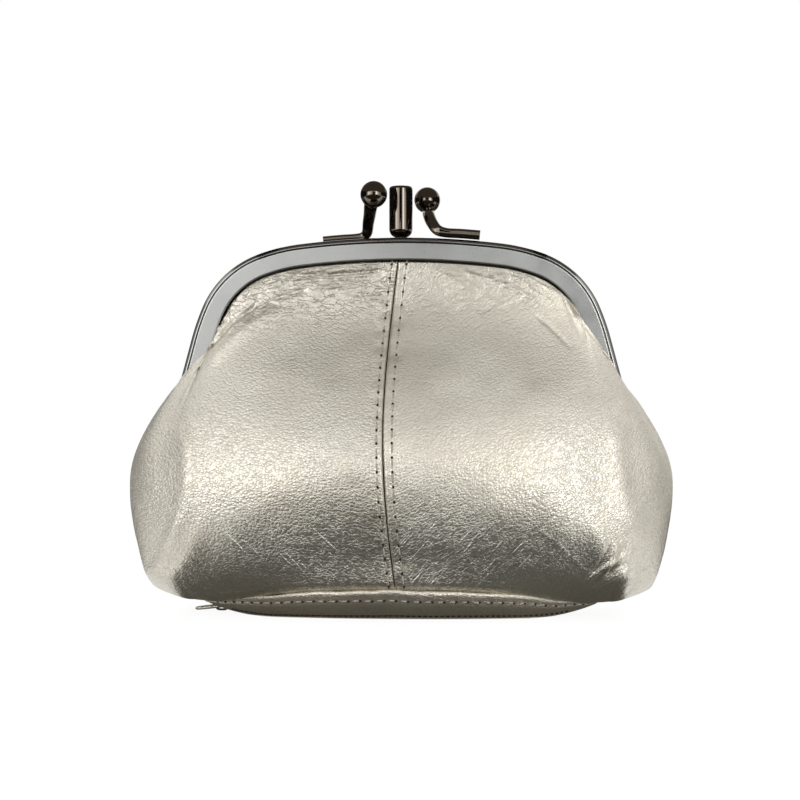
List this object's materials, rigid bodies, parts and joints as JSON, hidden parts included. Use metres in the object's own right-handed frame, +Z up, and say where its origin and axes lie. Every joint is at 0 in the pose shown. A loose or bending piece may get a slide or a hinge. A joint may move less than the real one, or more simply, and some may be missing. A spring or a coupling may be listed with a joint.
{
  "type": "kiss-lock coin purse",
  "caption": "Soft leather coin purse with a hinged metal frame, a ball-and-post kiss-lock clasp, inner divider and a zipped pocket in its base.",
  "frame": {"origin": "middle of the purse's base, on the table it stands on", "axes": "+X along the frame to the right seen from the front, +Y to the rear, +Z up to the clasp"},
  "size_m": [0.1226, 0.05, 0.0986],
  "materials": {
    "frame_metal": "gunmetal plate, satin",
    "clasp_metal": "gunmetal plate, polished",
    "foil_leather": "champagne metallic foil, fine grain",
    "base_leather": "champagne metallic foil, fine grain",
    "lining_cloth": "plain woven lining",
    "paper_cord": "twisted paper cord",
    "zip_tape": "woven tape",
    "zip_coil": "nylon coil"
  },
  "bodies": {
    "bag": {"middle_frame": "frame_metal", "hinge_rivet_left": "clasp_metal", "hinge_rivet_right": "clasp_metal", "centre_post": "clasp_metal", "post_stud": "clasp_metal", "divider_cord": "paper_cord", "divider_panel": "lining_cloth", "pocket_floor": "lining_cloth", "front_leather_left": "foil_leather", "front_leather_right": "foil_leather", "rear_leather_left": "foil_leather", "rear_leather_right": "foil_leather", "front_lining": "lining_cloth", "rear_lining": "lining_cloth", "base_strip_front": "base_leather", "base_strip_rear": "base_leather", "zip_tape_front": "zip_tape", "zip_tape_rear": "zip_tape", "zip_coil_front": "zip_coil", "zip_coil_rear": "zip_coil", "zip_stop_left": "clasp_metal", "zip_stop_right": "clasp_metal"},
    "front_leaf": {"front_frame": "frame_metal", "front_clasp_arm": "clasp_metal", "front_clasp_ball": "clasp_metal", "front_frame_cord": "paper_cord", "front_shoulder_left": "foil_leather", "front_shoulder_right": "foil_leather", "front_lining_upper": "lining_cloth"},
    "rear_leaf": {"rear_frame": "frame_metal", "rear_clasp_arm": "clasp_metal", "rear_clasp_ball": "clasp_metal", "rear_frame_cord": "paper_cord", "rear_shoulder_left": "foil_leather", "rear_shoulder_right": "foil_leather", "rear_lining_upper": "lining_cloth"},
    "slider": {"zip_slider": "clasp_metal"},
    "pull": {"zip_pull": "base_leather"}
  },
  "joints": [
    {"name": "front_hinge", "type": "hinge", "parent": "bag", "child": "front_leaf", "pos_m": [0, 0, 0.044], "axis": [1, 0, 0], "range_deg": [0, 50], "deforming": ["front_shoulder_left", "front_shoulder_right", "front_lining_upper"]},
    {"name": "rear_hinge", "type": "hinge", "parent": "bag", "child": "rear_leaf", "pos_m": [0, 0, 0.044], "axis": [-1, 0, 0], "range_deg": [0, 50], "deforming": ["rear_shoulder_left", "rear_shoulder_right", "rear_lining_upper"]},
    {"name": "zip_slide", "type": "slide", "parent": "bag", "child": "slider", "axis": [1, 0, 0], "range_m": [0, 0.0796]},
    {"name": "pull_hinge", "type": "hinge", "parent": "slider", "child": "pull", "pos_m": [-0.04138, 0, 0.0015], "axis": [0, -1, 0], "range_deg": [-6, 150]}
  ]
}
